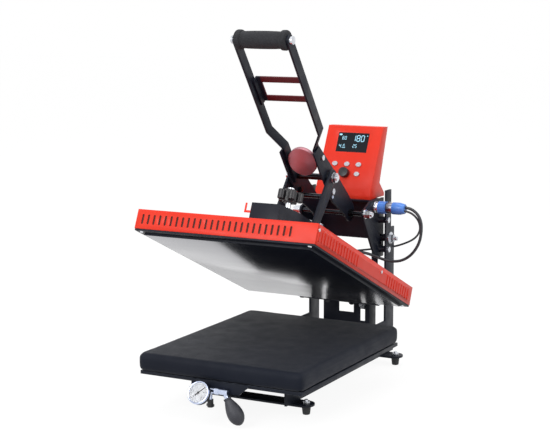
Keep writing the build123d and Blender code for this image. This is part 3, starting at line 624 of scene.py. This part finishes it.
def pad_block():
    bm = bmesh.new()
    bmesh.ops.create_cube(bm, size=1.0)
    bmesh.ops.scale(bm, vec=(PAD_WIDTH, PAD_DEPTH, PAD_TOP - PAD_BOTTOM - 1.0), verts=bm.verts)
    rounded_off(bm, [e for e in bm.edges if abs(e.verts[0].co.z - e.verts[1].co.z) > 1], PAD_CORNER, 6)
    rims = [e for e in bm.edges if abs(e.verts[0].co.z - e.verts[1].co.z) < 0.01
            and len({round(f.normal.z) for f in e.link_faces}) == 2]
    rounded_off(bm, rims, PAD_RIM, 4)
    bmesh.ops.triangulate(bm, faces=bm.faces)
    bmesh.ops.transform(bm, matrix=local(0, 0, (PAD_TOP + PAD_BOTTOM) / 2 - 0.4), verts=bm.verts)
    return bm


def evaluated_mesh(thing):
    ready = thing.evaluated_get(bpy.context.evaluated_depsgraph_get())
    return bpy.data.meshes.new_from_object(ready)


def blank_object(mesh, name):
    blank = bpy.data.objects.new(name, mesh)
    bpy.context.scene.collection.objects.link(blank)
    return blank


def remesh(blank, cell):
    """The object's mesh built again from even cells of that size in millimetres."""
    voxels = blank.modifiers.new("voxels", "REMESH")
    voxels.mode = "VOXEL"
    voxels.voxel_size = cell * MM
    even = evaluated_mesh(blank)
    blank.modifiers.clear()
    return even


def soften(bm, rounds):
    for _ in range(rounds):
        bmesh.ops.smooth_vert(bm, verts=bm.verts, factor=0.5, use_axis_x=True, use_axis_y=True,
                              use_axis_z=True)


def swell(thing, frames=20):
    cloth = thing.modifiers.new("cloth", "CLOTH")
    cloth.settings.use_pressure = True
    cloth.settings.uniform_pressure_force = 4
    cloth.settings.effector_weights.gravity = 0
    for moment in range(1, frames + 1):
        bpy.context.scene.frame_set(moment)
    blown = evaluated_mesh(thing)
    thing.modifiers.clear()
    bpy.context.scene.frame_set(1)
    return blown


blank = blank_object(to_mesh(pad_block(), "pad_start"), "pad_blank")
even = remesh(blank, PAD_CELL)
blank.data = even
rest = [v.co.copy() for v in even.vertices]
even = swell(blank)
bm = bmesh.new()
bm.from_mesh(even)
for vert, home in zip(bm.verts, rest):
    move = vert.co - home
    if move.length > PAD_SWELL * MM:
        vert.co = home + move.normalized() * PAD_SWELL * MM
soften(bm, 3)
for vert in bm.verts:
    vert.co.z = min(max(vert.co.z, PAD_BOTTOM * MM), PAD_TOP * MM)
bpy.data.objects.remove(blank)
pad = make_piece(bm, "membrane_pad_soft", "membrane_pad", sharp=180)
finer = pad.modifiers.new("finer", "SUBSURF")
finer.levels = finer.render_levels = 1
print("pad faces", len(pad.data.polygons))

# %% [markdown]
# The grip is a foam tube with a flange at each end that keeps the hand in. It is turned from one
# profile about the grip rod, slightly fuller in the middle.

# %% Foam grip
GRIP = local(0, -44, 796, 90, "Y")
half = [(0, 19.5), (18, 19.4), (34, 19.0), (46, 18.4), (47.5, 18.6), (48.4, 20.6), (50, 21.6), (54, 22.0),
        (58.5, 21.9), (61, 20.8), (62, 18.8), (62, 8.2)]
outline = [(r, -h) for h, r in reversed(half[1:])] + [(r, h) for h, r in half]
grip = make_piece(turned_shape(outline, 64, closed=True), "grip_foam_soft", "grip_foam", place=GRIP)
print("grip length", 2 * half[-1][0], "mm")

# %% [markdown]
# The squeeze bulb is a hollow rubber ball with a collar over the metal neck. Its profile is turned
# about its own leaning axis, with a small moulded ring at the far end where the inlet valve sits.

# %% Squeeze bulb
NECK = local(22, -250.5, 67, -32, "Y")
bulb_line = [(0, -68.4), (3.2, -68.4), (3.6, -67.7), (5.2, -67.2), (8.7, -65.1), (12.8, -60.4),
             (15.9, -54.1), (17.3, -47.6), (17.2, -40.6), (15.9, -32.6), (13.5, -24.8), (10.5, -17.2),
             (8.4, -12.0), (7.6, -10.1), (8.4, -9.4), (8.4, -6.4), (7.7, -5.8), (5.3, -5.8), (5.3, -8.0),
             (0, -8.0)]
make_piece(turned_shape(bulb_line, 48), "squeeze_bulb_soft", "squeeze_bulb", bulb_rubber, NECK)
print("bulb length", round(bulb_line[-4][1] - bulb_line[0][1], 1), "mm")

# %% [markdown]
# The four feet are rubber, wider at the top, with a rounded floor edge and a shallow groove. One
# turned shape is copied to the four corners inside the same bmesh.

# %% Rubber feet
FOOT_X, FOOT_FRONT, FOOT_REAR = 129, -90, 388
foot_line = [(0, 0), (6.6, 0), (7.7, 0.5), (8.2, 1.6), (9.4, 12.2), (9.2, 12.9), (9.5, 13.6), (10.3, 18.2),
             (10.2, 19.1), (9.6, 19.45), (4.2, 19.45), (4.2, 6.2), (0, 6.2)]
bm = turned_shape(foot_line, 40)
first = list(bm.verts) + list(bm.edges) + list(bm.faces)
for x, y in ((-FOOT_X, FOOT_REAR), (FOOT_X, FOOT_FRONT), (FOOT_X, FOOT_REAR)):
    copy = bmesh.ops.duplicate(bm, geom=first)["geom"]
    moved = [v for v in copy if isinstance(v, bmesh.types.BMVert)]
    bmesh.ops.translate(bm, vec=(x + FOOT_X, y - FOOT_FRONT, 0), verts=moved)
make_piece(bm, "feet_soft", "feet", place=local(-FOOT_X, FOOT_FRONT, 0))
print("feet", 4)

# %% [markdown]
# The pressure gauge has a rolled bezel, a printed card and a glass. The bezel is a closed profile
# turned about the gauge's axis. The ticks are small bars set round the card in steps.

# %% Gauge bezel
GAUGE = local(-30.5, -276.05, 73.75, 60)
BEZEL_R = 25
bezel_line = [(22.1, -1.3), (22.0, -0.2), (22.8, 0), (24.1, 0), (24.8, -0.6), (BEZEL_R, -1.8),
              (BEZEL_R, -4.9), (23.1, -4.9), (23.1, -4.1), (22.1, -4.0)]
make_piece(turned_shape(bezel_line, 72, closed=True), "gauge_bezel_rolled", "gauge_bezel", place=GAUGE,
           sharp=60)
print("bezel radius", BEZEL_R, "mm")

# %% Gauge scale
FIRST_TICK, SWEEP = 225, 270
TICKS = 50
TICK_R, NUMBER_R = 19.2, 13.0
TICK_DEPTH, NUMBER_DEPTH = -3.15, -3.12
bm = bmesh.new()
for step in range(TICKS + 1):
    angle = math.radians(FIRST_TICK - SWEEP * step / TICKS)
    long = step % 10 == 0
    size = (3.2 if long else 1.8, 0.5 if long else 0.26, 0.1)
    middle = TICK_R - size[0] / 2
    spin = Matrix.Rotation(angle, 4, "Z") @ Matrix.Translation((middle, 0, TICK_DEPTH))
    bmesh.ops.create_cube(bm, size=1.0, matrix=spin @ Matrix.Diagonal((*size, 1)))
make_piece(bm, "gauge_ticks", "gauge_dial", ink, GAUGE, replaces=False)


def printed(name, words, height, place, like, material):
    """Words as thin raised ink: a text object is made a mesh and then put in its place."""
    text = bpy.data.curves.new(name, "FONT")
    text.body = words
    text.size = height
    text.extrude = 0.04
    text.align_x = text.align_y = "CENTER"
    holder = bpy.data.objects.new(name + "_text", text)
    bm = bmesh.new()
    bm.from_mesh(bpy.data.meshes.new_from_object(holder))
    bpy.data.objects.remove(holder)
    bmesh.ops.remove_doubles(bm, verts=bm.verts, dist=1e-5)
    return make_piece(bm, name, like, material, place, replaces=False)


for step in range(6):
    angle = math.radians(FIRST_TICK - SWEEP * step / 5)
    where = (NUMBER_R * math.cos(angle), NUMBER_R * math.sin(angle), NUMBER_DEPTH)
    place = GAUGE @ Matrix.Translation(where)
    printed(f"gauge_number_{step}", str(2 * step), 4.2, place, "gauge_dial", ink)
print("scale from 0 to", 10)

# %% [markdown]
# The control box shows lit numbers and a few signs on its dark window. Each digit is made of up to
# seven short bars, as on a real segment display, and glows in a pale blue.

# %% Lit digits
digit_light = finish("digit_light", (0.30, 0.62, 0.78), (0.42, 0.74, 0.88), (0.4, 0.5), cloud=60.0,
                     depth=0.002, Emission_Color=(0.36, 0.72, 0.92, 1), Emission_Strength=0.55)
SEGMENTS = {"0": "abcdef", "1": "bc", "2": "abdeg", "3": "abcdg", "4": "bcfg", "5": "acdfg", "6": "acdefg",
            "7": "abc", "8": "abcdefg", "9": "abcdfg"}
# For each bar: steps across and up from the middle of the digit, and whether it is upright
BARS = {"a": (0, 2, 0), "b": (1, 1, 1), "c": (1, -1, 1), "d": (0, -2, 0), "e": (-1, -1, 1), "f": (-1, 1, 1),
        "g": (0, 0, 0)}


def lit_bar(bm, x, z, width, height):
    place = Matrix.Translation((x, 0.3, z))
    bmesh.ops.create_cube(bm, size=1.0, matrix=place @ Matrix.Diagonal((width, 0.2, height, 1)))


def lit_number(bm, digits, x, z, height):
    unit = height / 4
    for digit in digits:
        for bar in SEGMENTS[digit]:
            across, along, upright = BARS[bar]
            size = (height * 0.11, unit * 1.7) if upright else (unit * 1.7, height * 0.11)
            lit_bar(bm, x + across * unit, z + along * unit, *size)
        x += unit * 3.1


bm = bmesh.new()
NUMBERS = (("180", 2, 143, 15), ("25", 4, 123, 8), ("60", -27, 143, 8), ("4", -32, 122, 9))
SIGNS = ((-35, 151.5, 7, 4), (36.5, 150, 2, 2), (-22, 118, 9, 1.2), (-22, 122, 6, 1.2), (-22, 126, 4, 1.2))
for number in NUMBERS:
    lit_number(bm, *number)
for sign in SIGNS:
    lit_bar(bm, *sign)
make_piece(bm, "screen_digits", "control_screen", digit_light, FACE, replaces=False)
print("numbers", len(NUMBERS), "signs", len(SIGNS))

# %% [markdown]
# The star knob is moulded plastic, all soft lobes. The CAD knob is a sum of plain solids, so a
# merged copy is remeshed into small even cells and smoothed until the corners flow together.

# %% Star knob
KNOB_CELL = 1.1
bm = bmesh.new()
bm.from_mesh(frame["nodes"]["star_knob"].data)
bmesh.ops.remove_doubles(bm, verts=bm.verts, dist=2e-6)
blank = blank_object(to_mesh(bm, "knob_raw"), "knob_blank")
bm = bmesh.new()
bm.from_mesh(remesh(blank, KNOB_CELL))
bpy.data.objects.remove(blank)
soften(bm, 5)
knob = make_piece(bm, "star_knob_moulded", "star_knob", sharp=180)
print("knob faces", len(knob.data.polygons))
